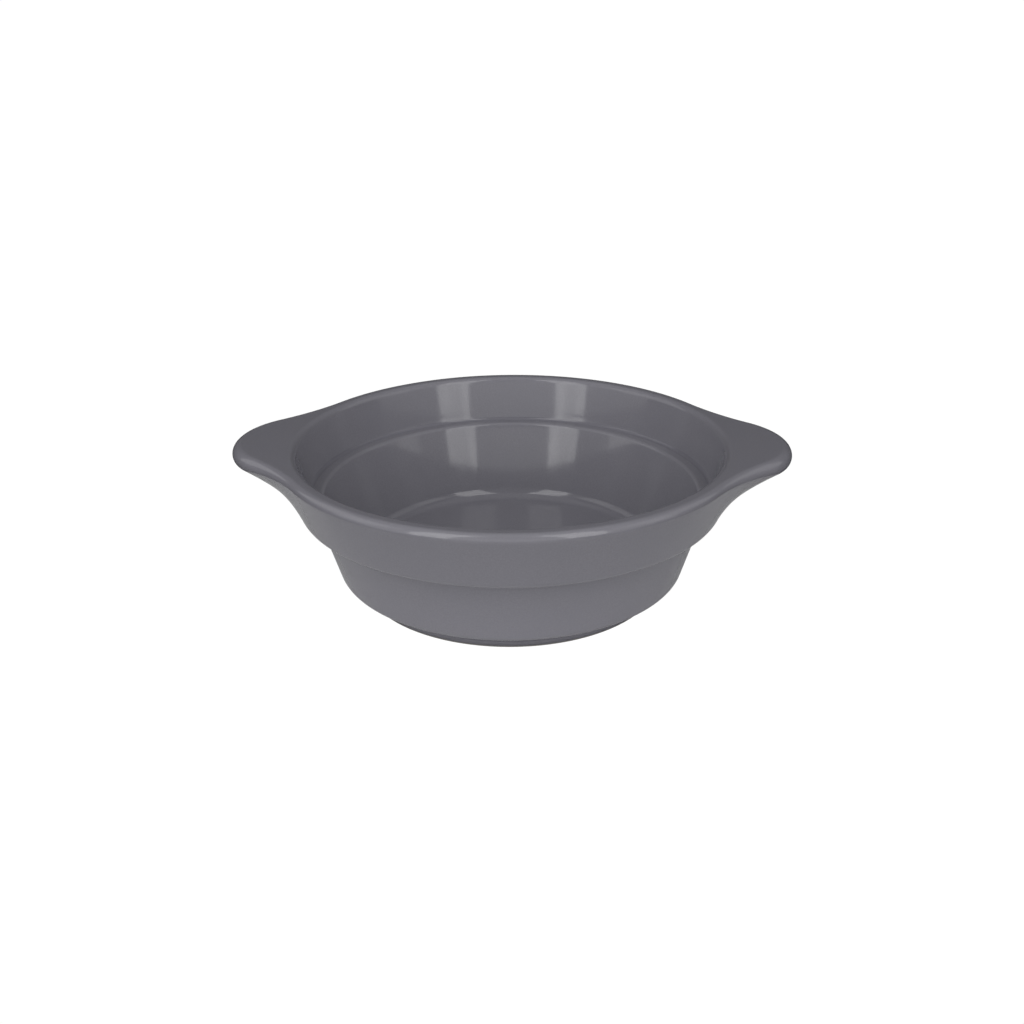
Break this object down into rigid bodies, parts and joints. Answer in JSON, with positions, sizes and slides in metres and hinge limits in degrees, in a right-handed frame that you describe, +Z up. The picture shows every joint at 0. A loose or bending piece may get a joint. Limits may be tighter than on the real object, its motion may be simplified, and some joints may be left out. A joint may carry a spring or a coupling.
{
  "type": "lugged stoneware dip bowl",
  "caption": "Round glazed stoneware bowl with lug handles flowing out of its rim, a stacking collar, an inner ledge and a flat foot ring.",
  "frame": {"origin": "centre of the foot ring's tread, on the surface that the bowl stands on", "axes": "+Z up along the bowl's axis, +X through the middle of one lug, +Y to the plain side of the rim"},
  "size_m": [0.1944, 0.16, 0.052],
  "materials": {
    "bare_clay": "matte",
    "glaze": "satin gloss"
  },
  "bodies": {
    "root": {"clay_body": "bare_clay", "glaze_coat": "glaze", "foot_well_glaze": "glaze"}
  },
  "joints": []
}
